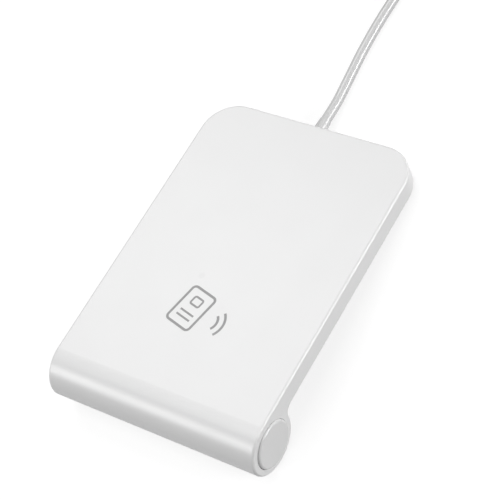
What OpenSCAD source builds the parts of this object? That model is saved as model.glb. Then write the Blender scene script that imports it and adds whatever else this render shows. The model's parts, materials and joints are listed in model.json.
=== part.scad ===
// Desktop contactless smart card reader: a thin white slab whose front edge
// is a round roller, on a USB lead. Millimetres, +Z up, standing on z = 0.
// The case is drawn in its own frame, with the card face at z = 0 and the
// roller's axis at y = 0, and in_use() then tilts it onto its feet.

/* [Case] */
// Width of the case along the roller
body_w = 65; // [60:0.5:80]
// Distance from the roller's axis to the rear edge
reach = 86.2; // [82:0.1:110]
// Thickness of the flat part
slab_t = 6.3; // [6.1:0.1:8]
// Diameter of the round front edge
roller_d = 17.4; // [16.8:0.2:22]
// Radius of the rear corners, seen from above
corner_r = 10; // [5:0.5:14]
// Rounding of every outer edge
edge_r = 0.7; // [0.3:0.1:1]
// Wall above the electronics
top_t = 1.6; // [1.2:0.1:1.7]
// Side and rear walls
side_t = 1.6; // [1.2:0.1:2]
// Shell of the roller
shell_t = 1.8; // [1.4:0.1:2.2]
// Floor plate of the bottom cover
floor_t = 1.2; // [1:0.1:1.3]
// End walls of the roller
end_t = 2.6; // [2.2:0.1:3.5]
// Assembly gap between the two covers
fit = 0.1; // [0.05:0.05:0.15]

/* [End caps] */
// Width of the ring round an end cap
cap_ring = 2.1; // [1.8:0.1:3]
// How far a cap stands proud of the end wall
cap_proud = 0.6; // [0.3:0.1:1]
// Rounding of a cap's rim
cap_rim_r = 0.6; // [0.1:0.05:1]
// Depth of the pocket that holds a cap
cap_pocket = 1.1; // [0.8:0.1:1.4]
// Shadow gap round a cap
cap_gap = 0.12; // [0.1:0.01:0.3]
// How far a cap's spigot lies inside its rim
spigot_in = 2.6; // [2:0.1:3.5]
// Wall of the spigot
spigot_t = 1.2; // [0.8:0.1:2]
// How far the spigot reaches past the end wall
spigot_reach = 1.2; // [0.5:0.1:2]

/* [Screws and hooks] */
// Thread diameter of the cover screws
screw_d = 2; // [1.6:0.1:2.2]
// Diameter of a screw head
screw_head_d = 3.6; // [3:0.1:4]
// Height of a screw head
screw_head_t = 0.7; // [0.5:0.05:0.8]
// Length of thread in a boss
screw_bite = 2.6; // [2:0.1:3]
// Outside diameter of a screw boss
boss_d = 4.6; // [4.2:0.1:5.2]
// Distance of the front screws from the side walls' outside
front_screw_in = 7.5; // [7:0.5:9]
// Distance of the front screws behind the roller's axis
front_screw_y = 14; // [13.5:0.5:16]
// Distance of the rear screws from the side walls' outside
rear_screw_side = 8.5; // [7:0.5:10]
// Distance of the rear screws from the rear edge
rear_screw_in = 12.5; // [11.5:0.5:14]
// Width of a hook that holds the covers together in front
hook_w = 9; // [6:0.5:12]
// Thickness of a hook
hook_t = 1.2; // [0.8:0.1:1.5]

/* [Feet] */
// Distance of the feet's middles from the side walls' outside
foot_in = 13.5; // [11:0.5:16]
// Width of a front foot
front_foot_w = 12; // [8:0.5:14]
// Length of a front foot
front_foot_l = 4.8; // [3:0.2:5.4]
// Height of the roller above the table
front_rise = 0.4; // [0.3:0.05:0.6]
// Width of a rear foot
rear_foot_w = 10; // [6:0.5:12]
// Length of a rear foot
rear_foot_l = 5; // [4:0.2:6]
// Distance of a rear foot's middle from the rear edge
rear_foot_in = 5; // [4.5:0.1:6]
// Height of the underside above the table at the rear feet
rear_rise = 0.9; // [0.8:0.05:1.2]
// Depth of the seats that the feet are glued into
foot_seat = 0.4; // [0.2:0.05:0.5]

/* [Circuit board] */
// Gap between the board and the side walls
board_side = 2.1; // [1.8:0.1:4]
// Front edge of the board behind the roller's axis
board_front = 1.2; // [1:0.1:3]
// Distance of the board's rear edge from the case's rear edge
board_rear_in = 9; // [8.5:0.5:12]
// Thickness of the board
board_t = 1; // [0.8:0.1:1]
// Gap between the board and the wall above it
board_gap = 0.35; // [0.3:0.05:0.5]
// Radius of the board's corners
board_corner_r = 2; // [0.5:0.5:3]
// Turns of the printed antenna
antenna_turns = 4; // [2:1:6]
// Width of an antenna track
track_w = 0.8; // [0.5:0.1:1]
// Step from one antenna track to the next
track_step = 1.4; // [1.2:0.1:2]
// Thickness of the copper
copper_t = 0.07; // [0.05:0.01:0.1]
// Thickness of the ferrite sheet
ferrite_t = 0.3; // [0.2:0.05:0.4]
// Side of the card reading chip
reader_chip_w = 7; // [5:0.5:8]
// Side of the USB chip
usb_chip_w = 6; // [4:0.5:7]
// Height of the chips
chip_t = 0.85; // [0.6:0.05:1.2]
// Gap between the weight bar and the roller's bore, were they in line
weight_side = 2.4; // [2.4:0.1:3.5]
// Distance of the weight bar's ends from the roller's end walls
weight_in = 6.9; // [3:0.1:12]

/* [Status light] */
// Sideways place of the status light
light_x = -5.9; // [-12:0.1:12]
// Distance of the status light behind the roller's axis
light_y = 32.9; // [28:0.1:50]
// Diameter of the light guide
light_d = 3; // [2.4:0.1:4]
// Wall left over the light guide, thin enough to shine through
light_skin = 0.45; // [0.3:0.05:0.6]

/* [USB lead] */
// Sideways place of the lead's exit
cable_x = -0.5; // [-8:0.5:8]
// Diameter of the lead
cable_d = 3; // [2.8:0.1:3.6]
// Length of the strain relief outside the case
relief_l = 4; // [3:0.5:12]
// Diameter of the strain relief at the case
relief_d = 3.6; // [3.5:0.1:4.8]
// Width of the strain relief where it passes the wall
relief_neck_d = 3.3; // [3.2:0.1:3.9]
// Turns of the stored coil, in two layers
coil_turns = 8; // [4:1:9]
// Diameter of the coil at the middle of its turns
coil_d = 36; // [30:0.5:42]
// Gap between neighbouring turns of the coil
coil_gap = 0.5; // [0.45:0.05:0.8]
// Width of the tie round the coil
tie_w = 5; // [3:0.5:8]
// Thickness of the tie
tie_t = 0.8; // [0.5:0.1:1.2]

/* [USB plug] */
// Width of the plug's grip
plug_w = 15.6; // [14:0.2:18]
// Height of the plug's grip
plug_h = 8; // [7:0.2:9]
// Length of the plug's grip
plug_l = 20; // [16:0.5:26]
// Width of the metal shell
shell_w = 12; // [11.8:0.1:12.2]
// Height of the metal shell
shell_h = 4.5; // [4.3:0.1:4.7]
// Length of the metal shell past the grip
shell_l = 12; // [11:0.25:14]
// Sheet metal thickness of the shell
metal_t = 0.3; // [0.25:0.05:0.4]

/* [Hidden] */
$fn = 64;
over = 1;                       // overrun of every cut

// Case outline
roller_r = roller_d / 2;
half_w = body_w / 2;
corner_x = half_w - corner_r;
corner_y = reach - corner_r;
neck_r = roller_r - slab_t;     // hollow between the roller and the underside
neck_y = roller_r + neck_r;
part_a = 50;                    // parting line, below the roller's front
hook_a = 16;                    // reach of a hook to each side of it
room_w = body_w - 2 * side_t;
room_rear = reach - side_t;
room_r = corner_r - side_t;
floor_z = floor_t - slab_t;
bore_r = roller_r - shell_t;
bore_l = body_w - 2 * end_t;
cap_d = roller_d - 2 * cap_ring;
spigot_d = cap_d - 2 * spigot_in;

// Stance: the tilt that brings both pairs of feet onto the table
axis_h = roller_r + front_rise;
rear_foot_y = reach - rear_foot_in;
foot_span = sqrt(pow(rear_foot_y, 2) + pow(roller_r - slab_t, 2));
tilt = atan((roller_r - slab_t) / rear_foot_y) + asin((axis_h - rear_rise) / foot_span);
rear_y = (reach - edge_r) * cos(tilt) + (roller_r - edge_r) * sin(tilt) + edge_r;
mid_y = (rear_y - roller_r) / 2;

// Feet
foot_x = half_w - foot_in;

// Screws
screw_fit = 0.03;
front_screw_x = half_w - front_screw_in;
rear_screw_x = half_w - rear_screw_side;
boss_r = boss_d / 2;
rear_screw_y = reach - rear_screw_in;
screw_places = [[-front_screw_x, front_screw_y], [front_screw_x, front_screw_y],
                [-rear_screw_x, rear_screw_y], [rear_screw_x, rear_screw_y]];
screw_seat = floor_t - screw_head_t;
screw_l = screw_seat + screw_bite;
drive_share = 0.45;             // width of the cross slot, of the head
drive_d = screw_head_d * drive_share;
drive_t = screw_head_t / 2;

// Board and what is on it
board_w = room_w - 2 * board_side;
board_z = -top_t - board_gap;
board_under = board_z - board_t;
board_rear = reach - board_rear_in;
board_l = board_rear - board_front;
pad_w = 1.2;
pad_l = 8;
pad_x = board_w / 2 - pad_w;
pad_y_shares = [0.4, 0.75];
stand_d = 3;
antenna_margin = 2.2;
antenna_x = board_w / 2 - antenna_margin;
antenna_y0 = 19;
antenna_rear_in = 6.5;
antenna_y1 = board_rear - antenna_rear_in;
ferrite_in = 5;
ferrite_w = board_w - 2 * ferrite_in;
ferrite_y0 = 20;
ferrite_rear_in = 8;
ferrite_y1 = board_rear - ferrite_rear_in;
parts_in = 8.8;                 // row of the chips behind the board's front edge
parts_y = board_front + parts_in;
reader_chip_share = -0.14;      // places along that row, as shares of the board's width
usb_chip_share = 0.14;
regulator_share = 0.27;
inductor_share = -0.285;
reader_chip_x = reader_chip_share * board_w;
usb_chip_x = usb_chip_share * board_w;
crystal_w = 3.2;
crystal_l = 2.5;
crystal_t = 0.7;
lid_in = 0.3;
lid_t = 0.2;
regulator_w = 2.9;
regulator_l = 1.3;
regulator_t = 1.1;
regulator_x = regulator_share * board_w;
regulator_lead_w = 0.4;
regulator_lead_t = 0.15;
regulator_lead_l = 0.55;
regulator_lead_step = 0.95;
inductor_w = 2.5;
inductor_t = 1.2;
inductor_x = inductor_share * board_w;
inductor_step = 3.6;
capacitor_l = 1.6;
capacitor_w = 0.8;
capacitor_t = 0.8;
capacitor_step = 2.6;
led_w = 1.6;
led_l = 0.8;
led_t = 0.7;
lens_d = 0.7;
led_gap = 0.1;

// Weight bar
weight_r = bore_r - weight_side;
weight_d = 2 * weight_r;
weight_drop = 0.9;              // the bar lies below the roller's axis
weight_z = -roller_r - weight_drop;
weight_l = bore_l - 2 * weight_in;
weight_fit = 0.05;
cradle_t = 1.4;
cradle_share = 0.27;            // distance of the ribs from the middle, of the bar's length
cradle_x = cradle_share * weight_l;
weight_bevel = 0.5;

// Lead outlet and inner wires
cable_r = cable_d / 2;
exit_z = -slab_t / 2;
relief_r = relief_d / 2;
relief_neck_r = relief_neck_d / 2;
relief_tip_t = 0.15;
relief_tip_r = cable_r + relief_tip_t;
relief_collar = 0.6;
relief_flange_w = 7;
relief_flange_t = 1.4;
relief_fit = 0.05;
wire_d = 0.7;
wire_step = 1.25;
wire_count = 4;
header_w = 8.4;
header_l = 4.4;
header_t = 1.75;
header_wall = 0.5;
header_in = 0.6;
header_y = board_rear - header_l - header_in;
connector_out = 0.9;            // the connector stands out of its header by this
connector_w = header_w - 2 * header_wall - fit;
connector_l = header_l - header_wall + connector_out;

// Lead on the table: chosen points, from the strain relief to the coil
cable_lift = tie_t + fit;
route = [[-0.5, 56.8, 2.1], [-0.6, 60, 1.75], [-0.8, 64, 1.55],
         [-0.9, 68, 1.5], [-1, 72, 1.5], [-1, 76, 1.5], [-0.9, 80, 1.5],
         [-0.7, 84, 1.5], [-0.4, 88, 1.5], [0, 92, 1.5], [0.4, 96, 1.5],
         [0.7, 100, 1.6], [0.9, 104, 1.8], [1, 108, 2.05], [1, 112, 2.25],
         [1, 115, 2.35], [1, 118, 2.4]];
coil_step = cable_d + coil_gap;
coil_half = coil_turns / 2;
coil_out = coil_d / 2 + coil_step * coil_half / 2;
coil_in = coil_out - coil_step * coil_half;
coil_z = cable_lift + cable_r;
route_end = route[len(route) - 1];
coil_x = route_end[0] - coil_out;
coil_y = route_end[1] + cable_d;
coil_sides = 6;
coil_rings = 24;
tube_sides = 8;
tail_l = 16;
tail_steps = 8;
tie_a = 60;
tie_gap = 0.3;
tie_r = 1.4;
tie_tab = 6;

// Plug
plug_y = coil_y + cable_d + tail_l;
plug_x = route_end[0];
plug_z = plug_h / 2;
plug_relief_l = 11;
plug_relief_d = 5.6;
plug_relief_tip_d = 4.2;
plug_rings = 4;
plug_corner_r = 2;
plug_edge_r = 1;
grip_y = plug_y + plug_relief_l;
front_y = grip_y + plug_l;
shell_corner_r = 0.6;
window_w = 2.2;
window_l = 2;
window_x = 2.9;
window_y = 4.4;
tongue_t = 1.85;
tongue_short = 0.6;             // the tongue ends this far inside the shell
tongue_l = shell_l - tongue_short;
tongue_in = 0.15;
contact_w = 1;
contact_l = 7.4;
contact_t = 0.2;
contact_xs = [-3.5, -1, 1, 3.5];

shell_white = [0.93, 0.93, 0.93];
lead_white = [0.88, 0.88, 0.88];
rubber_grey = [0.35, 0.35, 0.36];
steel_grey = [0.6, 0.61, 0.63];
board_green = [0.05, 0.3, 0.16];
part_black = [0.08, 0.08, 0.09];
copper_red = [0.72, 0.45, 0.2];
nylon_white = [0.9, 0.88, 0.8];

// Stands the case on its feet, with the middle of its footprint at the origin
module in_use() {
    translate([0, -mid_y, axis_h])
        rotate([-tilt, 0, 0])
            translate([0, 0, roller_r])
                children();
}

// The way back: takes a shape set out on the table into the case's own frame
module in_case() {
    translate([0, 0, -roller_r])
        rotate([tilt, 0, 0])
            translate([0, mid_y, -axis_h])
                children();
}

// An outline drawn in y and z, carried across the case
module across(w) {
    translate([-w / 2, 0, 0])
        rotate([90, 0, 90])
            linear_extrude(w)
                children();
}

// An outline drawn in x and z, carried from front to rear
module along(y0, y1) {
    translate([0, y1, 0])
        rotate([90, 0, 0])
            linear_extrude(y1 - y0)
                children();
}

// A shape of revolution about the roller's axis, turned from straight down
module about_roller(a0, a) {
    translate([0, 0, -roller_r])
        rotate([0, 90, 0])
            rotate([0, 0, a0])
                rotate_extrude(angle = a)
                    children();
}

// A cylinder on the roller's axis
module roller_rod(r, w) {
    translate([-w / 2, 0, -roller_r])
        rotate([0, 90, 0])
            cylinder(r = r, h = w);
}

// A rectangle from a corner, its two right-hand corners rounded
module soft_end(w, h, r) {
    square([w - r, h]);
    translate([w - r - over, r])
        square([r + over, h - 2 * r]);
    for (y = [r, h - r])
        translate([w - r, y])
            circle(r, $fn = 24);
}

// Case shape
module roller_half() {
    soft_end(roller_r, body_w, edge_r);
}

module roller_form() {
    about_roller(180, 270)
        translate([0, -half_w])
            roller_half();
}

module neck_trumpet() {
    translate([0, -half_w - over])
        square([neck_r, body_w + 2 * over]);
    for (m = [0, 1])
        mirror([0, m])
            difference() {
                translate([neck_r / 2, half_w - edge_r])
                    square([neck_r / 2 + edge_r, edge_r + over]);
                translate([neck_r + edge_r, half_w - edge_r])
                    circle(edge_r);
            }
}

module neck_form() {
    difference() {
        intersection() {
            across(body_w + 2 * over)
                translate([0, -roller_r])
                    square([neck_y, roller_r]);
            along(-over, neck_y + over)
                translate([-half_w, 0])
                    rotate([0, 0, 90])
                        mirror([0, 1])
                            translate([-roller_d, 0])
                                soft_end(roller_d, body_w, edge_r);
        }
        translate([0, neck_y, -roller_r])
            rotate([0, 90, 0])
                rotate([0, 0, 180])
                    rotate_extrude(angle = 90)
                        neck_trumpet();
    }
}

module slab_form() {
    across(2 * corner_x)
        translate([neck_y, -slab_t])
            soft_end(reach - neck_y, slab_t, edge_r);
    for (m = [0, 1])
        mirror([m, 0, 0]) {
            along(neck_y, corner_y)
                translate([corner_x, -slab_t])
                    soft_end(corner_r, slab_t, edge_r);
            translate([corner_x, corner_y, -slab_t])
                rotate_extrude(angle = 90)
                    soft_end(corner_r, slab_t, edge_r);
        }
}

// Plan of the room inside the side walls, drawn in by a gap
module room_plan(gap) {
    r = room_r - gap;
    w = room_w - 2 * gap;
    rear = room_rear - gap;
    translate([-w / 2, -roller_d])
        square([w, roller_d + rear - r]);
    translate([r - w / 2, 0])
        square([w - 2 * r, rear]);
    for (x = [r - w / 2, w / 2 - r])
        translate([x, rear - r])
            circle(r);
}

// Side view of the bottom cover: the roller's underside and the floor plate
module belly_side(gap) {
    middle = [0, -roller_r];
    hollow = [neck_y, -roller_r];
    edge = [-cos(part_a), -sin(part_a)];
    lean = [sin(part_a), -cos(part_a)] * gap;
    difference() {
        union() {
            intersection() {
                translate(middle)
                    circle(roller_r);
                polygon([middle, middle + lean, middle + lean + 2 * roller_d * edge,
                         [roller_d, -3 * roller_d], middle + 2 * (hollow - middle)]);
            }
            difference() {
                polygon([middle, hollow, [neck_y, floor_z], [0, floor_z]]);
                translate(hollow)
                    circle(neck_r);
            }
            translate([neck_y, -slab_t])
                square([room_rear + over - neck_y, floor_t]);
        }
        translate(middle)
            circle(bore_r + gap);
    }
}

module at_screws() {
    for (p = screw_places)
        translate([p[0], p[1], 0])
            children();
}

module board_pads(z, h, w, l) {
    for (m = [-1, 1], s = pad_y_shares)
        translate([m * pad_x - w / 2, board_front + board_l * s - l / 2, z])
            cube([w, l, h]);
}

// Ribs across the roller that hold the weight bar, cut to the bar
module cradle(front) {
    for (m = [-1, 1])
        translate([m * cradle_x, 0, 0])
            difference() {
                intersection() {
                    roller_rod(bore_r + shell_t / 2, cradle_t);
                    if (front)
                        translate([-cradle_t, -roller_r, -roller_r])
                            cube([2 * cradle_t, roller_r, roller_r]);
                    else
                        translate([-cradle_t, -weight_r - over, -roller_d])
                            cube([2 * cradle_t, weight_d + 2 * over, roller_d + weight_z]);
                }
                translate([-cradle_t, 0, weight_z])
                    rotate([0, 90, 0])
                        cylinder(r = weight_r + weight_fit, h = 2 * cradle_t);
            }
}

module cable_slot() {
    translate([cable_x, room_rear - over, exit_z]) {
        rotate([-90, 0, 0])
            cylinder(r = relief_neck_r + relief_fit, h = side_t + 2 * over);
        translate([-relief_neck_r - relief_fit, 0, exit_z - over])
            cube([relief_neck_d + 2 * relief_fit, side_t + 2 * over, over - exit_z]);
    }
}

// Room for the electronics, open below
module case_room() {
    translate([0, 0, -slab_t - over])
        linear_extrude(slab_t + over - top_t)
            intersection() {
                room_plan(0);
                translate([-half_w, neck_y])
                    square([body_w, reach]);
            }
}

// Side view of the cut that takes the bottom cover, outside a radius
module under_cut(r) {
    middle = [0, -roller_r];
    edge = [-cos(part_a), -sin(part_a)];
    difference() {
        polygon([middle, middle + 2 * roller_d * edge, [neck_y + over, -3 * roller_d],
                 [neck_y + over, -top_t], [0, -top_t]]);
        if (r > 0)
            translate(middle)
                circle(r);
    }
}

// Everything that is cut from the case to leave the top cover
module top_cuts() {
    roller_rod(bore_r, bore_l);
    case_room();
    for (x = [-1, 1])
        translate([x * (bore_l + room_w) / 4, 0, 0])
            across((room_w - bore_l) / 2)
                under_cut(bore_r);
    across(bore_l)
        under_cut(0);
    for (m = [0, 1])
        mirror([m, 0, 0])
            translate([half_w, 0, -roller_r])
                rotate([0, 90, 0]) {
                    translate([0, 0, -cap_pocket])
                        cylinder(d = cap_d + 2 * cap_gap, h = cap_pocket + over);
                    translate([0, 0, -end_t - over])
                        cylinder(d = spigot_d + 2 * screw_fit, h = end_t + over);
                }
    cable_slot();
    translate([light_x, light_y, -top_t - over])
        cylinder(d = light_d + 2 * fit, h = top_t - light_skin + over);
}

module top_slab() {
    difference() {
        union() {
            difference() {
                slab_form();
                top_cuts();
            }
            at_screws()
                translate([0, 0, floor_z])
                    cylinder(d = boss_d, h = -floor_z - top_t / 2);
            board_pads(board_z, board_gap + top_t / 2, pad_w, pad_l);
        }
        at_screws()
            translate([0, 0, floor_z - over])
                cylinder(d = screw_d + 2 * screw_fit, h = screw_bite + over + fit);
    }
}

module top_cover() {
    color(shell_white)
        in_use() {
            union() {
                difference() {
                    roller_form();
                    top_cuts();
                }
                cradle(true);
            }
            union() {
                difference() {
                    neck_form();
                    top_cuts();
                }
                top_slab();
            }
        }
}

module front_foot_seats() {
    for (x = [-foot_x, foot_x])
        translate([x - front_foot_w / 2 - fit, -mid_y - front_foot_l / 2 - fit, -over])
            cube([front_foot_w + 2 * fit, front_foot_l + 2 * fit, over + front_rise + foot_seat]);
}

module hooks() {
    for (m = [-1, 1])
        translate([m * foot_x, 0, 0]) {
            about_roller(-90 + part_a - hook_a, 2 * hook_a)
                translate([bore_r - hook_t - fit, -hook_w / 2])
                    square([hook_t, hook_w]);
            about_roller(-90 + part_a + hook_a / 4, hook_a / 2)
                translate([bore_r - hook_t / 2 - fit, -hook_w / 3])
                    square([hook_t / 2 + 3 * fit, 2 * hook_w / 3]);
        }
}

module bottom_cover() {
    color(shell_white)
        in_use()
            difference() {
                union() {
                    intersection() {
                        across(room_w - 2 * fit)
                            belly_side(fit);
                        translate([0, 0, -roller_d - over])
                            linear_extrude(roller_d + over)
                                room_plan(fit);
                    }
                    board_pads(floor_z - floor_t / 2, board_under - floor_z + floor_t / 2, stand_d, stand_d);
                    cradle(false);
                    hooks();
                }
                at_screws() {
                    translate([0, 0, -slab_t - over])
                        cylinder(d = screw_d + 2 * fit, h = floor_t + 2 * over);
                    translate([0, 0, -slab_t - over])
                        cylinder(d = screw_head_d + 2 * fit, h = over + screw_head_t);
                }
                in_case()
                    front_foot_seats();
                for (x = [-foot_x, foot_x])
                    translate([x - rear_foot_w / 2 - fit, rear_foot_y - rear_foot_l / 2 - fit, -slab_t - over])
                        cube([rear_foot_w + 2 * fit, rear_foot_l + 2 * fit, over + foot_seat]);
            }
}

// Press-in disc at one end of the roller, drawn for the right-hand side
module end_cap() {
    disc_t = cap_pocket + cap_proud;
    web = end_t - cap_pocket;
    translate([half_w - cap_pocket, 0, -roller_r])
        rotate([0, 90, 0])
            rotate_extrude() {
                square([cap_d / 2, disc_t - cap_rim_r]);
                square([cap_d / 2 - cap_rim_r, disc_t]);
                translate([cap_d / 2 - cap_rim_r, disc_t - cap_rim_r])
                    circle(cap_rim_r);
                translate([spigot_d / 2 - spigot_t, -web - spigot_reach])
                    square([spigot_t, web + spigot_reach + over]);
            }
}

module end_cap_left() {
    color(shell_white)
        in_use()
            mirror([1, 0, 0])
                end_cap();
}

module end_cap_right() {
    color(shell_white)
        in_use()
            end_cap();
}

module cover_screws() {
    color(steel_grey)
        in_use()
            at_screws()
                translate([0, 0, -slab_t])
                    difference() {
                        union() {
                            cylinder(d = screw_head_d, h = screw_head_t);
                            cylinder(d = screw_d, h = screw_head_t + screw_l);
                        }
                        for (a = [0, 90])
                            rotate([0, 0, a])
                                translate([-drive_d / 2, -drive_t / 2, -over])
                                    cube([drive_d, drive_t, drive_t + over]);
                    }
}

module front_feet() {
    color(rubber_grey)
        for (x = [-foot_x, foot_x])
            translate([x - front_foot_w / 2, -mid_y - front_foot_l / 2, 0])
                cube([front_foot_w, front_foot_l, front_rise + foot_seat]);
}

// Wedges that are flat on the table and square to the underside
module rear_feet() {
    color(rubber_grey)
        difference() {
            in_use()
                for (x = [-foot_x, foot_x])
                    translate([x - rear_foot_w / 2, rear_foot_y - rear_foot_l / 2, -slab_t + foot_seat - roller_r])
                        cube([rear_foot_w, rear_foot_l, roller_r]);
            translate([-half_w, -mid_y, -roller_d])
                cube([body_w, 2 * reach, roller_d]);
        }
}

module weight_bar() {
    color(steel_grey)
        in_use()
            translate([-weight_l / 2, 0, weight_z])
                rotate([0, 90, 0])
                    rotate_extrude()
                        polygon([[0, 0], [weight_r - weight_bevel, 0], [weight_r, weight_bevel],
                                 [weight_r, weight_l - weight_bevel],
                                 [weight_r - weight_bevel, weight_l], [0, weight_l]]);
}

module main_board() {
    color(board_green)
        in_use()
            difference() {
                translate([0, 0, board_under])
                    linear_extrude(board_t)
                        difference() {
                            union() {
                                translate([board_corner_r - board_w / 2, board_front])
                                    square([board_w - 2 * board_corner_r, board_l]);
                                translate([-board_w / 2, board_front + board_corner_r])
                                    square([board_w, board_l - 2 * board_corner_r]);
                                for (x = [-1, 1], y = [board_front + board_corner_r, board_rear - board_corner_r])
                                    translate([x * (board_w / 2 - board_corner_r), y])
                                        circle(board_corner_r);
                            }
                            for (p = screw_places)
                                translate(p)
                                    circle(boss_r + 3 * fit);
                        }
                for (x = [-1, 1])
                    translate([cable_x + x * header_w / 4, header_y + header_l / 2, board_under - over])
                        cylinder(d = 2 * header_wall, h = board_t + 2 * over);
            }
}

// One unbroken rectangular spiral of track, from the outside in
module antenna_coil() {
    color(copper_red)
        in_use()
            translate([0, 0, board_z])
                linear_extrude(copper_t)
                    for (k = [0 : antenna_turns - 1]) {
                        s = k * track_step;
                        x = antenna_x - s;
                        y0 = antenna_y0 + s;
                        y1 = antenna_y1 - s;
                        translate([-x - (k > 0 ? track_step : 0), y0])
                            square([2 * x + (k > 0 ? track_step : 0), track_w]);
                        translate([x - track_w, y0])
                            square([track_w, y1 - y0]);
                        translate([-x, y1 - track_w])
                            square([2 * x, track_w]);
                        translate([-x, y0 + track_step])
                            square([track_w, y1 - y0 - track_step]);
                    }
}

module ferrite_sheet() {
    color(part_black)
        in_use()
            translate([-ferrite_w / 2, ferrite_y0, board_under - ferrite_t])
                cube([ferrite_w, ferrite_y1 - ferrite_y0, ferrite_t]);
}

// A part soldered under the board, centred at x, y
module under_board(x, y, w, l, h) {
    translate([x - w / 2, y - l / 2, board_under - h])
        cube([w, l, h]);
}

module reader_chip() {
    color(part_black)
        in_use()
            under_board(reader_chip_x, parts_y, reader_chip_w, reader_chip_w, chip_t);
}

module usb_chip() {
    color(part_black)
        in_use()
            under_board(usb_chip_x, parts_y, usb_chip_w, usb_chip_w, chip_t);
}

module clock_crystals() {
    color(steel_grey)
        in_use()
            for (y = [parts_y - crystal_w, parts_y + crystal_w]) {
                under_board(0, y, crystal_w, crystal_l, crystal_t);
                under_board(0, y, crystal_w - 2 * lid_in, crystal_l - 2 * lid_in, crystal_t + lid_t);
            }
}

module voltage_regulator() {
    color(part_black)
        in_use() {
            under_board(regulator_x, parts_y, regulator_w, regulator_l, regulator_t);
            for (k = [-1, 0, 1])
                under_board(regulator_x + (k == 0 ? 0 : k * regulator_lead_step),
                            parts_y + (k == 0 ? 1 : -1) * (regulator_l + regulator_lead_l) / 2,
                            regulator_lead_w, regulator_lead_l + lid_t, regulator_lead_t);
        }
}

module filter_inductors() {
    color(part_black)
        in_use()
            for (y = [parts_y - inductor_step / 2, parts_y + inductor_step / 2])
                under_board(inductor_x, y, inductor_w, inductor_w, inductor_t);
}

module chip_capacitors() {
    color(nylon_white)
        in_use() {
            for (k = [-1, 0, 1])
                for (c = [reader_chip_x, usb_chip_x])
                    under_board(c + k * capacitor_step, parts_y + reader_chip_w / 2 + capacitor_w + fit,
                                capacitor_l, capacitor_w, capacitor_t);
            for (k = [0 : 3])
                under_board(cable_x + header_w + k * capacitor_step, header_y + header_l / 2,
                            capacitor_l, capacitor_w, capacitor_t);
        }
}

module status_led() {
    color(nylon_white)
        in_use()
            translate([light_x, light_y, board_z]) {
                translate([-led_w / 2, -led_l / 2, 0])
                    cube([led_w, led_l, led_t - lid_t]);
                cylinder(d = lens_d, h = led_t);
            }
}

// Clear disc glued under the thin skin, over the light
module light_guide() {
    color(nylon_white)
        in_use()
            translate([light_x, light_y, board_z + led_t + led_gap])
                cylinder(d = light_d, h = -light_skin - board_z - led_t - led_gap);
}

// Socket for the inner wires, open towards the rear
module cable_header() {
    color(nylon_white)
        in_use()
            difference() {
                union() {
                    under_board(cable_x, header_y + header_l / 2, header_w, header_l, header_t);
                    for (x = [-1, 1])
                        translate([cable_x + x * header_w / 4, header_y + header_l / 2, board_under - header_wall])
                            cylinder(d = 2 * header_wall - fit, h = header_wall + board_t / 2);
                }
                translate([cable_x - header_w / 2 + header_wall, header_y + header_wall,
                           board_under - header_t + header_wall])
                    cube([header_w - 2 * header_wall, header_l, header_t - 2 * header_wall + 2 * fit]);
            }
}

module cable_connector() {
    color(nylon_white)
        in_use()
            translate([cable_x - connector_w / 2, header_y + header_wall + fit, board_under - header_t + header_wall + fit / 2])
                cube([connector_w, connector_l, header_t - 2 * header_wall + fit]);
}

module lead_wires() {
    wires_y = header_y + header_wall + fit + connector_l;
    wires_end = room_rear - relief_flange_t;
    color(copper_red)
        in_use()
            for (k = [0 : wire_count - 1])
                translate([cable_x + (k - (wire_count - 1) / 2) * wire_step, wires_y, board_under - header_t / 2])
                    rotate([-90, 0, 0])
                        cylinder(d = wire_d, h = wires_end - wires_y);
}

// Moulded sleeve: flange inside the rear wall, neck in its slot, taper outside
module strain_relief() {
    color(lead_white)
        in_use()
            translate([cable_x, 0, 0]) {
                translate([-relief_flange_w / 2, room_rear - relief_flange_t, floor_z])
                    cube([relief_flange_w, relief_flange_t, -top_t - floor_z]);
                translate([0, room_rear - relief_flange_t / 2, exit_z])
                    rotate([-90, 0, 0])
                        cylinder(r = relief_neck_r, h = relief_flange_t / 2 + side_t + relief_collar);
                translate([-relief_neck_r, room_rear, -slab_t])
                    cube([relief_neck_d, side_t - edge_r, slab_t + exit_z]);
                translate([0, reach + fit, exit_z])
                    rotate([-90, 0, 0])
                        rotate_extrude()
                            polygon([[0, 0], [relief_r, 0], [relief_r, relief_collar],
                                     [relief_tip_r, relief_l - fit], [0, relief_l - fit]]);
            }
}

// Ring of a tube: points round a centre, square to a direction
function unit(v) = v / norm(v);
function ring(c, d, r, n) =
    let (side = unit(cross(d, [0, 0, 1])), up = cross(side, d))
    [for (k = [0 : n - 1]) c + r * (side * cos(360 * k / n) + up * sin(360 * k / n))];
function heading(p, i) =
    unit(p[min(i + 1, len(p) - 1)] - p[max(i - 1, 0)]);

// A tube along a list of points, its ends square to the given directions
module tube(p, r, n, first, last) {
    m = len(p);
    points = [for (i = [0 : m - 1])
                  each ring(p[i], i == 0 ? first : i == m - 1 ? last : heading(p, i), r, n)];
    sides = [for (i = [0 : m - 2], k = [0 : n - 1])
                 let (a = i * n + k, b = i * n + (k + 1) % n)
                 each [[a, a + n, b], [b, a + n, b + n]]];
    caps = [[for (k = [0 : n - 1]) k], [for (k = [n - 1 : -1 : 0]) (m - 1) * n + k]];
    polyhedron(points, concat(sides, caps));
}

// Free stretch: starts at the strain relief's tip, in its direction
exit_y = reach + relief_l;
exit_point = [cable_x,
              exit_y * cos(tilt) + (exit_z + roller_r) * sin(tilt) - mid_y,
              axis_h - exit_y * sin(tilt) + (exit_z + roller_r) * cos(tilt)];
exit_way = [0, cos(tilt), -sin(tilt)];
free_path = concat([exit_point], route);

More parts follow.
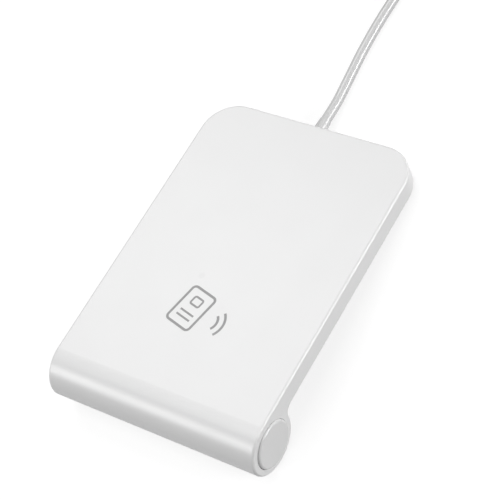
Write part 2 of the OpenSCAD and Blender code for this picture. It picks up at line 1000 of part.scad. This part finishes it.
module usb_cable() {
    color(lead_white)
        tube(free_path, cable_r, tube_sides, exit_way, [0, 1, 0]);
}

// Coil: spirals in on the lower layer, climbs in half a turn, spirals out
function turn_r(t) = t < coil_half ? coil_out - coil_step * t : coil_in + coil_step * (t - coil_half);
function climb(t) = let (u = min(1, max(0, (t - coil_half + 0.25) * 2))) u * u * (3 - 2 * u);
function turn_point(t) =
    [coil_x + turn_r(t) * cos(360 * t), coil_y + turn_r(t) * sin(360 * t), coil_z + coil_step * climb(t)];
coil_last = coil_turns * coil_rings;
coil_turning = [for (i = [0 : coil_last]) turn_point(i / coil_rings)];
coil_end = coil_turning[coil_last] + [0, cable_d, 0];
coil_path = concat([coil_turning[0] - [0, cable_d, 0]], coil_turning, [coil_end]);
coil_least = min([for (i = [0 : coil_last], j = [i + coil_rings / 2 : coil_last])
                      norm(coil_turning[i] - coil_turning[j])]) - cable_d;

module cable_coil() {
    echo(least_gap_between_turns = coil_least);
    color(lead_white)
        tube(coil_path, cable_r, coil_sides, [0, 1, 0], [0, 1, 0]);
}

// Rounded band in the coil's cross-section: outward distance and height
module band(grow) {
    low = coil_in - cable_r - tie_gap - grow;
    high = coil_out + cable_r + tie_gap + grow;
    bottom = cable_lift - grow;
    top = coil_z + coil_step + cable_r + tie_gap + grow;
    r = tie_r + grow;
    translate([low + r, bottom])
        square([high - low - 2 * r, top - bottom]);
    translate([low, bottom + r])
        square([high - low, top - bottom - 2 * r]);
    for (x = [low + r, high - r], y = [bottom + r, top - r])
        translate([x, y])
            circle(r);
}

module cable_tie() {
    color(part_black)
        translate([coil_x, coil_y, 0])
            rotate([0, 0, tie_a]) {
                along(-tie_w / 2, tie_w / 2)
                    difference() {
                        band(tie_t);
                        band(0);
                    }
                translate([coil_d / 2 - tie_tab, -tie_w / 2, coil_z + coil_step + cable_r + tie_gap + tie_t])
                    cube([2 * tie_tab, tie_w, tie_t]);
            }
}

// Tail: an eased slope from the coil's upper layer down to the plug
function ease(u) = u * u * (3 - 2 * u);
tail_path = [for (i = [0 : tail_steps])
                 let (u = i / tail_steps)
                 [coil_end[0], coil_end[1] + tail_l * u, coil_end[2] + (plug_z - coil_end[2]) * ease(u)]];

module cable_tail() {
    color(lead_white)
        tube(tail_path, cable_r, tube_sides, [0, 1, 0], [0, 1, 0]);
}

module at_plug(y) {
    translate([plug_x, y, plug_z])
        children();
}

module plug_relief() {
    step = plug_relief_l / (2 * plug_rings + 1);
    cut = (plug_relief_tip_d - cable_d) / 3;
    color(lead_white)
        at_plug(plug_y)
            rotate([-90, 0, 0])
                difference() {
                    cylinder(d1 = plug_relief_tip_d, d2 = plug_relief_d, h = plug_relief_l);
                    for (k = [1 : plug_rings])
                        translate([0, 0, (2 * k - 1) * step])
                            difference() {
                                cylinder(d = 2 * plug_relief_d, h = step);
                                translate([0, 0, -over])
                                    cylinder(d = plug_relief_tip_d - 2 * cut
                                                 + (plug_relief_d - plug_relief_tip_d) * k / plug_rings,
                                             h = step + 2 * over);
                            }
                }
}

module soft_rect(w, h, r) {
    translate([r - w / 2, -h / 2])
        square([w - 2 * r, h]);
    translate([-w / 2, r - h / 2])
        square([w, h - 2 * r]);
    for (x = [-1, 1], y = [-1, 1])
        translate([x * (w / 2 - r), y * (h / 2 - r)])
            circle(r);
}

module plug_grip() {
    color(lead_white)
        at_plug(grip_y)
            hull() {
                along(plug_edge_r, plug_l - plug_edge_r)
                    soft_rect(plug_w, plug_h, plug_corner_r, $fn = 32);
                along(0, plug_l)
                    soft_rect(plug_w - 2 * plug_edge_r, plug_h - 2 * plug_edge_r, plug_corner_r / 2, $fn = 32);
            }
}

module plug_shell() {
    color(steel_grey)
        at_plug(front_y)
            difference() {
                along(0, shell_l)
                    soft_rect(shell_w, shell_h, shell_corner_r);
                along(-over, shell_l + over)
                    soft_rect(shell_w - 2 * metal_t, shell_h - 2 * metal_t, shell_corner_r - metal_t / 2);
                for (x = [-window_x, window_x])
                    translate([x - window_w / 2, window_y, -shell_h])
                        cube([window_w, window_l, 2 * shell_h]);
            }
}

tongue_top = shell_h / 2 - metal_t - tongue_in;

module plug_tongue() {
    color(part_black)
        at_plug(front_y)
            translate([metal_t + tongue_in - shell_w / 2, 0, tongue_top - tongue_t])
                cube([shell_w - 2 * (metal_t + tongue_in), tongue_l, tongue_t]);
}

module plug_contacts() {
    color(copper_red)
        at_plug(front_y)
            for (x = contact_xs)
                translate([x - contact_w / 2, tongue_l - contact_l - contact_w, tongue_top - tongue_t - contact_t])
                    cube([contact_w, contact_l, contact_t]);
}

top_cover();
bottom_cover();
end_cap_left();
end_cap_right();
cover_screws();
front_feet();
rear_feet();
weight_bar();
main_board();
antenna_coil();
ferrite_sheet();
reader_chip();
usb_chip();
clock_crystals();
voltage_regulator();
filter_inductors();
chip_capacitors();
status_led();
light_guide();
cable_header();
cable_connector();
lead_wires();
strain_relief();
usb_cable();
cable_coil();
cable_tie();
cable_tail();
plug_relief();
plug_grip();
plug_shell();
plug_tongue();
plug_contacts();
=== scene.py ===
"""Looks of the desktop card reader: white mouldings, a printed pictogram, and its USB lead.

The shapes' sizes are in millimetres and become metres where they are used. Those of the
floor and the lamps are in metres.
"""
import json
import math

import bpy
from mathutils import Matrix, Vector


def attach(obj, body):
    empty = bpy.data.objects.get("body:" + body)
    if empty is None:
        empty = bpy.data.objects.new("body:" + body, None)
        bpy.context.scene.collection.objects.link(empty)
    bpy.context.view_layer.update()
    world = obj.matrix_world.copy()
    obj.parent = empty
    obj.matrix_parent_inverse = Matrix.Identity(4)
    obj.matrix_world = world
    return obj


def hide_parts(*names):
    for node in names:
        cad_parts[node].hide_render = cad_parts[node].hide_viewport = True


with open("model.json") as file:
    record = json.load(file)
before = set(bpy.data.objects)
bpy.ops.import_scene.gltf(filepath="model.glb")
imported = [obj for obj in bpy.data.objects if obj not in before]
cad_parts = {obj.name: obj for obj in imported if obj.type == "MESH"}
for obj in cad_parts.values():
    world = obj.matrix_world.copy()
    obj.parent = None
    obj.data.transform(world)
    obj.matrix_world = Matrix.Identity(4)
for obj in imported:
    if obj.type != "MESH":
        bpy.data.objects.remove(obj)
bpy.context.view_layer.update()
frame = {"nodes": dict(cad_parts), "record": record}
MM = 0.001
X_AXIS = (1, 0, 0)
Y_AXIS = (0, 1, 0)
WHITE_LIGHT = (1, 1, 1, 1)
nodes = frame["nodes"]
mounts = {m["name"]: m for m in frame["record"]["mounts"]}

# The card face: a point (u, v) on it, and a height above it
# v runs from the roller's axis to the rear, as in the part's source
FACE_AXIS = Vector(mounts["card_face"]["axis"])
FACE_MIDDLE = Vector(mounts["card_face"]["pos_m"])
FACE_V = 45                     # where the mount is along the face
FACE_BACK = Vector((0, FACE_AXIS.z, -FACE_AXIS.y))


def face_point(u, v, h=0.0):
    """A point of the card face's own frame, in metres in the part's frame."""
    across = Vector((u * MM, 0, 0))
    return FACE_MIDDLE + across + FACE_BACK * ((v - FACE_V) * MM) + FACE_AXIS * (h * MM)


# Shader nodes

def fill(node, **values):
    """Sets a node's sockets by name, with underscores for spaces."""
    for key, value in values.items():
        node.inputs[key.replace("_", " ")].default_value = value


def add_node(tree, kind, **values):
    """A new shader node with some of its sockets set."""
    node = tree.nodes.new("ShaderNode" + kind)
    fill(node, **values)
    return node


def principled(name, colour, roughness, **sockets):
    """A new material with its shader's own sockets set."""
    m = bpy.data.materials.new(name)
    m.use_nodes = True
    shader = m.node_tree.nodes["Principled BSDF"]
    fill(shader, Base_Color=(*colour, 1), Roughness=roughness, **sockets)
    return m, m.node_tree, shader


def part_coords(tree):
    """The part's own coordinates, in metres."""
    return add_node(tree, "TexCoord").outputs["Object"]


def noise(tree, scale, detail=2.0, rough=0.5):
    """A noise texture in the part's own coordinates."""
    texture = add_node(tree, "TexNoise", Scale=scale, Detail=detail, Roughness=rough)
    tree.links.new(part_coords(tree), texture.inputs["Vector"])
    return texture.outputs["Fac"]


RAMP_START = 0.2
RAMP_END = 0.8


def ramp(tree, fac, low, high):
    """Turns a noise into a colour or a value between two ends."""
    r = add_node(tree, "ValToRGB")
    first, last = r.color_ramp.elements
    first.position = RAMP_START
    first.color = (*low, 1)
    last.position = RAMP_END
    last.color = (*high, 1)
    tree.links.new(fac, r.inputs["Fac"])
    return r.outputs["Color"]


def bump(tree, shader, height, strength, distance):
    """Fine relief from a texture."""
    b = add_node(tree, "Bump", Strength=strength, Distance=distance)
    tree.links.new(height, b.inputs["Height"])
    tree.links.new(b.outputs["Normal"], shader.inputs["Normal"])


def vector_math(tree, operation):
    """A vector node of one operation."""
    node = add_node(tree, "VectorMath")
    node.operation = operation
    return node


def rise(tree, value, start, end, low, high):
    """A value that goes from low to high between a start and an end."""
    edge = add_node(tree, "MapRange", From_Min=start, From_Max=end, To_Min=low, To_Max=high)
    tree.links.new(value, edge.inputs["Value"])
    return edge.outputs["Result"]


def grey(value):
    """The same value three times."""
    return (value, value, value)


def shade(colour, share):
    """A colour made lighter or darker by a share."""
    return tuple(max(0.0, min(1.0, c * (1 + share))) for c in colour)


# Materials

CLOUD_SCALE = 60                # scales count a texture's features in a metre
CLOUD_DETAIL = 3
GLOSS_SCALE = 90
GLOSS_SPREAD = 0.05             # share by which the roughness varies
GRAIN_DETAIL = 2
GRAIN_ROUGH = 0.6
GRAIN_RELIEF = 0.02 * MM
LINE_STRENGTH = 0.1
LINE_RELIEF = 0.01 * MM
LINE_DARKER = -0.06             # shares of the metal's colour
LINE_LIGHTER = 0.04
LINE_SMOOTHER = 0.8             # times its roughness
LINE_ROUGHER = 1.25
TRACK_LIGHTER = 0.25
TRACK_SCALE = 260
TRACK_WIDTH = 0.03
TRACK_STRENGTH = 0.2
TRACK_RELIEF = 0.03 * MM
BOARD_ROUGH = 0.35
SPOT_EDGE = 0.3                 # a spot fades over this share of its radius, in and out


def moulded(name, colour, roughness, grain=9000, depth=0.04, mottle=0.006, **sockets):
    """Moulded plastic: faint clouding, uneven gloss and a fine eroded grain."""
    m, tree, shader = principled(name, colour, roughness, **sockets)
    cloud = noise(tree, CLOUD_SCALE, CLOUD_DETAIL)
    cloudy = ramp(tree, cloud, shade(colour, -mottle), shade(colour, mottle))
    tree.links.new(cloudy, shader.inputs["Base Color"])
    spread = roughness * GLOSS_SPREAD
    gloss = ramp(tree, noise(tree, GLOSS_SCALE), grey(roughness - spread), grey(roughness + spread))
    tree.links.new(gloss, shader.inputs["Roughness"])
    bump(tree, shader, noise(tree, grain, GRAIN_DETAIL, GRAIN_ROUGH), depth, GRAIN_RELIEF)
    return m


def brushed(name, colour, roughness, stretch=(400, 6000, 400)):
    """Drawn or rolled metal with fine lines."""
    m, tree, shader = principled(name, colour, roughness, Metallic=1.0)
    mapping = add_node(tree, "Mapping", Scale=stretch)
    texture = add_node(tree, "TexNoise", Scale=1.0)
    tree.links.new(part_coords(tree), mapping.inputs["Vector"])
    tree.links.new(mapping.outputs["Vector"], texture.inputs["Vector"])
    lines = texture.outputs["Fac"]
    tint = ramp(tree, lines, shade(colour, LINE_DARKER), shade(colour, LINE_LIGHTER))
    tree.links.new(tint, shader.inputs["Base Color"])
    gloss = ramp(tree, lines, grey(roughness * LINE_SMOOTHER), grey(roughness * LINE_ROUGHER))
    tree.links.new(gloss, shader.inputs["Roughness"])
    bump(tree, shader, lines, LINE_STRENGTH, LINE_RELIEF)
    return m


def laminate(name, mask, track):
    """Circuit board: solder mask over faint tracks."""
    m, tree, shader = principled(name, mask, BOARD_ROUGH)
    bricks = add_node(tree, "TexBrick", Scale=TRACK_SCALE, Color1=(*mask, 1),
                      Color2=(*shade(mask, TRACK_LIGHTER), 1), Mortar=(*track, 1),
                      Mortar_Size=TRACK_WIDTH)
    tree.links.new(part_coords(tree), bricks.inputs["Vector"])
    tree.links.new(bricks.outputs["Color"], shader.inputs["Base Color"])
    bump(tree, shader, bricks.outputs["Fac"], TRACK_STRENGTH, TRACK_RELIEF)
    return m


def darker_spot(material, centre, radius, share):
    """Darkens a material's colour a little round a point, as a thin place in a wall does."""
    tree = material.node_tree
    shader = tree.nodes["Principled BSDF"]
    plain = shader.inputs["Base Color"].links[0].from_socket
    away = vector_math(tree, "DISTANCE")
    away.inputs[1].default_value = centre
    tree.links.new(part_coords(tree), away.inputs[0])
    inside = radius * (1 - SPOT_EDGE)
    outside = radius * (1 + SPOT_EDGE)
    lightness = rise(tree, away.outputs["Value"], inside, outside, 1 - share, 1.0)
    scaled = vector_math(tree, "SCALE")
    tree.links.new(plain, scaled.inputs[0])
    tree.links.new(lightness, scaled.inputs["Scale"])
    tree.links.new(scaled.outputs["Vector"], shader.inputs["Base Color"])


WHITE = grey(0.8)
CASE_ROUGH = 0.34
case_white = moulded("case_white", WHITE, CASE_ROUGH, depth=0.02, Specular_IOR_Level=1.0)
cover_white = moulded("cover_white", WHITE, CASE_ROUGH, depth=0.02, Specular_IOR_Level=1.0)
# The status light, seen as a faint dot through the thin skin over its guide
LIGHT_AT = (-5.9, 32.9)
LIGHT_R = 0.9
LIGHT_SHARE = 0.04
darker_spot(cover_white, face_point(*LIGHT_AT), LIGHT_R * MM, LIGHT_SHARE)
cap_white = moulded("cap_white", grey(0.74), 0.24, depth=0.02, Specular_IOR_Level=1.0)
lead_white = moulded("lead_white", grey(0.63), 0.19, grain=5000, depth=0.03, Specular_IOR_Level=0.9)
rubber = moulded("foot_rubber", (0.07, 0.07, 0.075), 0.75, grain=7000, depth=0.25, mottle=0.1)
strap = moulded("strap_black", (0.012, 0.012, 0.014), 0.8, grain=4000, depth=0.6, mottle=0.3)
steel = brushed("screw_steel", (0.42, 0.42, 0.43), 0.35)
tinned = brushed("tinned_sheet", (0.6, 0.61, 0.62), 0.22, stretch=(300, 300, 5000))
gilt = brushed("gilt", (0.8, 0.58, 0.25), 0.25)
copper = brushed("copper_track", (0.62, 0.3, 0.14), 0.35)
board = laminate("solder_mask", (0.012, 0.09, 0.035), (0.03, 0.16, 0.06))
black = moulded("moulding_compound", (0.02, 0.02, 0.021), 0.5, grain=12000, depth=0.3, mottle=0.15)
ferrite = moulded("ferrite", (0.035, 0.035, 0.038), 0.6, grain=8000, depth=0.3, mottle=0.2)
ceramic = moulded("ceramic", (0.38, 0.24, 0.12), 0.45, mottle=0.1)
nylon = moulded("nylon", (0.72, 0.68, 0.55), 0.45, mottle=0.03)
wire_red = moulded("wire_red", (0.4, 0.02, 0.015), 0.4, mottle=0.05)
clear = moulded("clear_guide", (0.85, 0.88, 0.9), 0.2, mottle=0.01)
ink = moulded("print_grey", grey(0.345), 0.5, grain=14000, depth=0.15, mottle=0.05)

# The part's nodes, apart from those of the lead, which the scene's own lead replaces
FINISHES = {
    "top_cover": cover_white, "bottom_cover": case_white, "end_cap_left": cap_white,
    "end_cap_right": cap_white, "cover_screws": steel, "front_feet": rubber, "rear_feet": rubber,
    "weight_bar": steel, "main_board": board, "antenna_coil": copper, "ferrite_sheet": ferrite,
    "reader_chip": black, "usb_chip": black, "clock_crystals": tinned, "voltage_regulator": black,
    "filter_inductors": ferrite, "chip_capacitors": ceramic, "status_led": nylon,
    "light_guide": clear, "cable_header": nylon, "cable_connector": nylon, "lead_wires": wire_red,
    "strain_relief": lead_white, "cable_tie": strap, "plug_relief": lead_white,
    "plug_grip": lead_white, "plug_shell": tinned, "plug_tongue": black, "plug_contacts": gilt,
}
SMOOTH_ANGLE = math.radians(32)


def finish_node(node, material):
    """Gives a CAD node its material, and smooth shading between its sharp edges."""
    o = nodes[node]
    o.data.materials.clear()
    o.data.materials.append(material)
    o.data.shade_smooth()
    split = o.modifiers.new("sharp_edges", "EDGE_SPLIT")
    split.split_angle = SMOOTH_ANGLE
    split.use_edge_sharp = False


for node_name, finish in FINISHES.items():
    finish_node(node_name, finish)


def add_object(name, data):
    """An object in the scene."""
    o = bpy.data.objects.new(name, data)
    bpy.context.scene.collection.objects.link(o)
    return o


# The USB lead: the route of the part's source

LEAD_D = 3.0
SPIN_OUT = (-0.5, 51.25, 2.85)  # where the lead leaves its relief
ROUTE = [(-0.5, 56.8, 2.1), (-0.6, 60, 1.75), (-0.8, 64, 1.55), (-0.9, 68, 1.5), (-1, 72, 1.5),
         (-1, 76, 1.5), (-0.9, 80, 1.5), (-0.7, 84, 1.5), (-0.4, 88, 1.5), (0, 92, 1.5),
         (0.4, 96, 1.5), (0.7, 100, 1.6), (0.9, 104, 1.8), (1, 108, 2.05), (1, 112, 2.25),
         (1, 115, 2.35), (1, 118, 2.4)]
COIL_TURNS = 8
COIL_MEAN_D = 36
COIL_STEP = 3.5                 # between turns, and between the two layers
CLIMB_TURNS = 0.5               # the lead climbs to the upper layer within these
TAIL = 16
PLUG_Z = 4
ROUTE_POINTS = 4                # points in each stretch of the route
COIL_POINTS = 60                # points in each turn
TAIL_POINTS = 16
LEAD_SIDES = 5                  # Blender's bevel resolution of the lead's round section

half_turns = COIL_TURNS / 2
coil_out = COIL_MEAN_D / 2 + COIL_STEP * half_turns / 2
coil_in = coil_out - COIL_STEP * half_turns
coil_x = ROUTE[-1][0] - coil_out
coil_y = ROUTE[-1][1] + LEAD_D
coil_z = ROUTE[-1][2]


def eased(u):
    """0 to 1, level at both ends."""
    u = min(1.0, max(0.0, u))
    return u * u * (3 - 2 * u)


def coil_point(t):
    """The coil after t turns: in on the lower layer, out on the upper one."""
    past_half = t - half_turns
    r = coil_in + COIL_STEP * abs(past_half)
    a = 2 * math.pi * t
    z = coil_z + COIL_STEP * eased(past_half / CLIMB_TURNS + 0.5)
    return Vector((coil_x + r * math.cos(a), coil_y + r * math.sin(a), z))


def through(points, steps):
    """A smooth line through points, with some more between each two."""
    p = [Vector(q) for q in points]
    p = [2 * p[0] - p[1]] + p + [2 * p[-1] - p[-2]]
    line = []
    for a, b, c, d in zip(p, p[1:], p[2:], p[3:]):
        for i in range(steps):
            t = i / steps
            line.append(0.5 * (2 * b + (c - a) * t + (2 * a - 5 * b + 4 * c - d) * t * t
                               + (3 * b - a - 3 * c + d) * t ** 3))
    return line + [p[-2]]


def tail_point(u):
    """The tail from the coil's end (0) to the plug (1)."""
    return coil_end + Vector((0, TAIL * u, (PLUG_Z - coil_end.z) * eased(u)))


coil_end = coil_point(COIL_TURNS) + Vector((0, LEAD_D, 0))
lead_line = through([SPIN_OUT] + ROUTE, ROUTE_POINTS)
lead_line += [coil_point(i / COIL_POINTS) for i in range(COIL_TURNS * COIL_POINTS + 1)]
lead_line += [tail_point(i / TAIL_POINTS) for i in range(TAIL_POINTS + 1)]

curve = bpy.data.curves.new("usb_lead", "CURVE")
curve.dimensions = "3D"
curve.bevel_depth = LEAD_D / 2 * MM
curve.bevel_resolution = LEAD_SIDES
curve.use_fill_caps = True
spline = curve.splines.new("POLY")
spline.points.add(len(lead_line) - 1)
for point, place in zip(spline.points, lead_line):
    point.co = (*(place * MM), 1)
curve.materials.append(lead_white)
usb_lead = add_object("usb_lead", curve)
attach(usb_lead, "root")
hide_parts("usb_cable", "cable_coil", "cable_tail")


# The print on the face: a plain card with a chip and two lines, and two waves beside it

INK_T = 0.012                   # height of the print
INK_LIFT = 0.004                # its underside stays this far above the face
STROKE = 0.7
FINE_STROKE = 0.56
ARC_STEPS = 10
CARD_W = 8.2
CARD_L = 11.4
CARD_ROUND = 1.1
CARD_AT = (-3.4, 23.2)
CARD_TURN = -14
CHIP = (3, 2.4, 0.5)            # its width, length and corner radius
CHIP_Y = 2.2                    # on the card, as the lines are
LINES_Y = (-1.6, -3.2)
LINE_HALF = 2.4
WAVES_AT = (2.6, 21.6)
WAVES_R = (3, 5)
WAVES_HALF = 42                 # half their angle


def arc(cx, cy, r, a0, a1):
    """Points of an arc, with its ends, angles in degrees."""
    angles = [math.radians(a0 + (a1 - a0) * i / ARC_STEPS) for i in range(ARC_STEPS + 1)]
    return [(cx + r * math.cos(a), cy + r * math.sin(a)) for a in angles]


def round_rect(w, h, r):
    """A closed outline round the origin."""
    x = w / 2 - r
    y = h / 2 - r
    rear = arc(x, y, r, 0, 90) + arc(-x, y, r, 90, 180)
    front = arc(-x, -y, r, 180, 270) + arc(x, -y, r, 270, 360)
    return rear + front


def on_card(points):
    """Points of the card as it lies on the face, turned and moved."""
    c = math.cos(math.radians(CARD_TURN))
    s = math.sin(math.radians(CARD_TURN))
    return [(CARD_AT[0] + c * px - s * py, CARD_AT[1] + s * px + c * py) for px, py in points]


def stroke(points, width, closed):
    """Both sides of a line of even width."""
    n = len(points)
    left = []
    right = []
    for i, (x, y) in enumerate(points):
        before = points[(i - 1) % n] if closed or i else points[i]
        after = points[(i + 1) % n] if closed or i < n - 1 else points[i]
        dx = after[0] - before[0]
        dy = after[1] - before[1]
        k = width / 2 / math.hypot(dx, dy)
        left.append((x - dy * k, y + dx * k))
        right.append((x + dy * k, y - dx * k))
    return left, right


class Print:
    """Collects the strokes of the print as thin raised strips."""

    def __init__(self):
        self.points = []
        self.faces = []

    def line(self, points, width=STROKE, closed=False):
        """Adds a strip with a rectangular section along a line."""
        n = len(points)
        base = len(self.points)
        left, right = stroke(points, width, closed)
        for h in (INK_LIFT + INK_T, INK_LIFT):
            for side in (left, right):
                self.points += [face_point(u, v, h) for u, v in side]
        for i in range(n if closed else n - 1):
            j = (i + 1) % n
            for a, b in ((0, 1), (1, 3), (3, 2), (2, 0)):
                here = base + a * n
                there = base + b * n
                self.faces.append((here + i, there + i, there + j, here + j))
        if not closed:
            for i in (0, n - 1):
                ring = [base + k * n + i for k in (0, 1, 3, 2)]
                self.faces.append(ring if i else ring[::-1])


art = Print()
art.line(on_card(round_rect(CARD_W, CARD_L, CARD_ROUND)), closed=True)
chip = [(x, y + CHIP_Y) for x, y in round_rect(*CHIP)]
art.line(on_card(chip), FINE_STROKE, closed=True)
for y in LINES_Y:
    art.line(on_card([(-LINE_HALF, y), (LINE_HALF, y)]), FINE_STROKE)
for r in WAVES_R:
    art.line(arc(*WAVES_AT, r, -WAVES_HALF, WAVES_HALF))
print_mesh = bpy.data.meshes.new("face_print")
print_mesh.from_pydata([tuple(p) for p in art.points], [], art.faces)
print_mesh.validate()
print_mesh.materials.append(ink)
face_print = add_object("face_print", print_mesh)
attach(face_print, "root")


# Floor and backdrop

def shown_rays(tree):
    """1 for rays that show the background: to the camera, and in gloss and glass."""
    path = add_node(tree, "LightPath")
    shown = path.outputs["Is Camera Ray"]
    for ray in ("Is Glossy Ray", "Is Transmission Ray"):
        either = add_node(tree, "Math")
        either.operation = "MAXIMUM"
        tree.links.new(shown, either.inputs[0])
        tree.links.new(path.outputs[ray], either.inputs[1])
        shown = either.outputs[0]
    return shown


def mixed(tree, share, first, second):
    """One shader turning into another."""
    mix = add_node(tree, "MixShader")
    tree.links.new(share, mix.inputs["Fac"])
    tree.links.new(first, mix.inputs[1])
    tree.links.new(second, mix.inputs[2])
    return mix.outputs["Shader"]


FLOOR_HALF = 3.0
FLOOR_DROP = 0.05 * MM          # keeps the floor clear of the feet's soles
FLOOR_ROUGH = 0.9
FLOOR_GREY = 0.1                # the floor as it lights the object: a dim one
FLOOR_GLOW = 0.03
SHOWN_GREY = 0.36               # the floor as it is seen: white, with the object's shadow
# The shown glow makes up for the lamps' falling off towards the floor's far edge
GLOW_FROM = 0.3                 # from the middle of the floor
GLOW_TO = 1.2
GLOW_NEAR = 0.77
GLOW_FAR = 1.0

floor_mesh = bpy.data.meshes.new("floor")
floor_mesh.from_pydata([(x * FLOOR_HALF, y * FLOOR_HALF, -FLOOR_DROP)
                        for x, y in ((-1, -1), (1, -1), (1, 1), (-1, 1))], [], [(0, 1, 2, 3)])
floor = add_object("floor", floor_mesh)
floor_white, ground, dim_floor = principled(
    "pale_floor", grey(FLOOR_GREY), FLOOR_ROUGH, Emission_Color=WHITE_LIGHT,
    Emission_Strength=FLOOR_GLOW, Specular_IOR_Level=0.0)
shaded = add_node(ground, "BsdfDiffuse", Color=(*grey(SHOWN_GREY), 1))
glow = add_node(ground, "Emission")
from_middle = vector_math(ground, "LENGTH")
ground.links.new(part_coords(ground), from_middle.inputs[0])
strength = rise(ground, from_middle.outputs["Value"], GLOW_FROM, GLOW_TO, GLOW_NEAR, GLOW_FAR)
ground.links.new(strength, glow.inputs["Strength"])
shown_floor = add_node(ground, "AddShader")
ground.links.new(shaded.outputs["BSDF"], shown_floor.inputs[0])
ground.links.new(glow.outputs["Emission"], shown_floor.inputs[1])
above = mixed(ground, shown_rays(ground), dim_floor.outputs["BSDF"], shown_floor.outputs["Shader"])
# From below the floor is clear, so that the underside can be seen
below = add_node(ground, "NewGeometry").outputs["Backfacing"]
clear_floor = add_node(ground, "BsdfTransparent")
two_sided = mixed(ground, below, above, clear_floor.outputs["BSDF"])
ground.links.new(two_sided, ground.nodes["Material Output"].inputs["Surface"])
floor_mesh.materials.append(floor_white)

WORLD_LIGHT = 0.2
world = bpy.data.worlds.new("studio")
bpy.context.scene.world = world
world.use_nodes = True
sky = world.node_tree
backdrop = sky.nodes["Background"]
fill(backdrop, Color=WHITE_LIGHT)
# A mix of two numbers, whose sockets are the first, third and fourth of its node
sky_mix = add_node(sky, "Mix")
sky_mix.inputs[2].default_value = WORLD_LIGHT
sky_mix.inputs[3].default_value = 1.0
sky.links.new(shown_rays(sky), sky_mix.inputs[0])
sky.links.new(sky_mix.outputs[0], backdrop.inputs["Strength"])


# Lamps and camera

LAMP_FAR = 1.0


def placed(at, x, y, z):
    """The matrix of an object at a place, with its axes."""
    return Matrix.Translation(at) @ Matrix((x, y, z)).transposed().to_4x4()


def softbox(name, way, across, width, height, radiance):
    """A rectangular lamp a step away from the reader, its width along an axis."""
    light = bpy.data.lights.new(name, "AREA")
    light.shape = "RECTANGLE"
    light.size = width
    light.size_y = height
    light.energy = math.pi * width * height * radiance
    z = Vector(way).normalized()
    x = (Vector(across) - z * z.dot(Vector(across))).normalized()
    add_object(name, light).matrix_world = placed(z * LAMP_FAR, x, z.cross(x), z)


# Mirrored by the face, by the roller's rear and front, and by the lead
softbox("face_box", (-0.49, 0.43, 0.76), X_AXIS, 0.5, 0.36, 3.0)
softbox("top_box", (-0.2, -0.1, 0.97), X_AXIS, 0.8, 0.5, 2.0)
softbox("roller_strip", (-0.49, -0.7, 0.52), X_AXIS, 0.44, 0.4, 5.0)
softbox("side_strip", (0.89, 0.33, 0.32), Y_AXIS, 0.6, 0.22, 8.0)
# Fill for the side wall, and for the rear of the cap's rim
softbox("right_fill", (0.86, 0.44, 0.22), Y_AXIS, 0.7, 0.4, 3.5)
softbox("rear_strip", (0.25, 0.95, 0.18), X_AXIS, 0.7, 0.25, 2.2)

CAMERA_AT = Vector((219.59, -112.79, 377.73)) * MM
CAMERA_WAY = Vector((-0.49137, 0.26936, -0.82825)).normalized()
CAMERA_ROLL = -38.05            # degrees, from level
SENSOR = 36
LENS = 121.56
camera_data = bpy.data.cameras.new("camera")
camera_data.sensor_width = SENSOR
camera_data.lens = LENS
level_right = CAMERA_WAY.cross(Vector((0, 0, 1))).normalized()
level_up = level_right.cross(CAMERA_WAY)
roll = math.radians(CAMERA_ROLL)
right = level_right * math.cos(roll) + level_up * math.sin(roll)
up = level_up * math.cos(roll) - level_right * math.sin(roll)
camera = add_object("camera", camera_data)
camera.matrix_world = placed(CAMERA_AT, right, up, -CAMERA_WAY)
bpy.context.scene.camera = camera
bpy.context.scene.view_settings.view_transform = "Standard"
